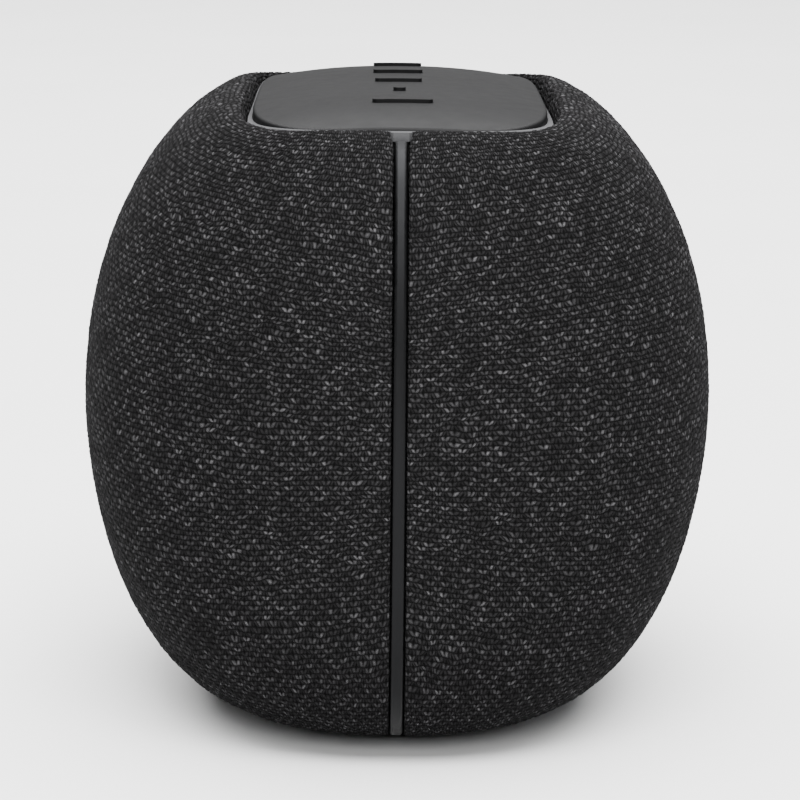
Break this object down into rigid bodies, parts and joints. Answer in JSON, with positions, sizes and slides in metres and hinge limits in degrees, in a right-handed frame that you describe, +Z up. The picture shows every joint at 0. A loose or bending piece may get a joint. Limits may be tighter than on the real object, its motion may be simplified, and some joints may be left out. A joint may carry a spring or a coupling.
{
  "type": "smart home hub",
  "caption": "Barrel-shaped table-top hub speaker wrapped in knit fabric, with end trim strips, a sunk oval-cornered control panel with raised keys and a small oval foot.",
  "frame": {"origin": "middle of the foot's underside, on the surface it stands on", "axes": "+Z up; +Y along the hub's longer horizontal side, towards the end with the power inlet; +X across the narrower side, towards the face the woofer is in"},
  "size_m": [0.1312, 0.146, 0.1309],
  "materials": {
    "knit_fabric": "matte",
    "grille_plastic": "matte",
    "anodised_trim": "satin",
    "ring_plastic": "satin",
    "soft_touch_skin": "matte",
    "key_rubber": "satin",
    "circuit_board": "satin",
    "switch_steel": "satin",
    "screw_steel": "satin",
    "seal_rubber": "matte",
    "basket_steel": "satin",
    "magnet_ceramic": "matte",
    "cone_paper": "matte",
    "dome_film": "satin",
    "cell_wrap": "gloss",
    "holder_plastic": "matte",
    "chip_plastic": "matte",
    "socket_nylon": "satin",
    "wire_sleeve": "satin"
  },
  "bodies": {
    "hub_body": {"sleeve_right": "knit_fabric", "sleeve_left": "knit_fabric", "grille_right": "grille_plastic", "grille_left": "grille_plastic", "cabinet_tub": "grille_plastic", "cabinet_lid": "grille_plastic", "trim_strip_front": "anodised_trim", "trim_strip_rear": "anodised_trim", "trim_ring": "ring_plastic", "control_panel": "soft_touch_skin", "key_board": "circuit_board", "main_board": "circuit_board", "port_board": "circuit_board", "antenna": "circuit_board", "dome_switches": "switch_steel", "radio_can": "switch_steel", "port_socket": "switch_steel", "driver_screws": "screw_steel", "lid_screws": "screw_steel", "tower_screws": "screw_steel", "board_screws": "screw_steel", "base_screws": "screw_steel", "cabinet_gasket": "seal_rubber", "woofer_surround": "seal_rubber", "passive_surround": "seal_rubber", "foot_pad": "seal_rubber", "woofer_basket": "basket_steel", "passive_frame": "basket_steel", "tweeter_body": "basket_steel", "woofer_magnet": "magnet_ceramic", "battery_cells": "cell_wrap", "battery_holder": "holder_plastic", "battery_strap": "holder_plastic", "port_plate": "holder_plastic", "foot_pan": "holder_plastic", "board_chips": "chip_plastic", "power_coils": "chip_plastic", "board_sockets": "socket_nylon", "harness": "wire_sleeve"},
    "long_bar_key": {"key_long_bar": "key_rubber"},
    "dot_key": {"key_dot": "key_rubber"},
    "bar_key": {"key_bar": "key_rubber"},
    "notched_bar_key": {"key_notched_bar": "key_rubber"},
    "end_bar_key": {"key_end_bar": "key_rubber"},
    "woofer_mover": {"woofer_cone": "cone_paper"},
    "tweeter_mover": {"tweeter_dome": "dome_film"},
    "passive_mover": {"passive_plate": "cone_paper", "passive_weight": "magnet_ceramic"}
  },
  "joints": [
    {"name": "long_bar_press", "type": "slide", "parent": "hub_body", "child": "long_bar_key", "axis": [0, 0, -1], "range_m": [0, 0.0004], "stiffness_N_per_m": 900},
    {"name": "dot_press", "type": "slide", "parent": "hub_body", "child": "dot_key", "axis": [0, 0, -1], "range_m": [0, 0.0004], "stiffness_N_per_m": 900},
    {"name": "bar_press", "type": "slide", "parent": "hub_body", "child": "bar_key", "axis": [0, 0, -1], "range_m": [0, 0.0004], "stiffness_N_per_m": 900},
    {"name": "notched_bar_press", "type": "slide", "parent": "hub_body", "child": "notched_bar_key", "axis": [0, 0, -1], "range_m": [0, 0.0004], "stiffness_N_per_m": 900},
    {"name": "end_bar_press", "type": "slide", "parent": "hub_body", "child": "end_bar_key", "axis": [0, 0, -1], "range_m": [0, 0.0004], "stiffness_N_per_m": 900},
    {"name": "woofer_stroke", "type": "slide", "parent": "hub_body", "child": "woofer_mover", "axis": [1, 0, 0], "range_m": [-0.0009, 0.0009], "stiffness_N_per_m": 1500, "deforming": ["woofer_surround"]},
    {"name": "tweeter_stroke", "type": "slide", "parent": "hub_body", "child": "tweeter_mover", "axis": [1, 0, 0], "range_m": [-0.0003, 0.0003], "stiffness_N_per_m": 1200},
    {"name": "passive_stroke", "type": "slide", "parent": "hub_body", "child": "passive_mover", "axis": [1, 0, 0], "range_m": [-0.0009, 0.0009], "stiffness_N_per_m": 1500, "deforming": ["passive_surround"]}
  ]
}
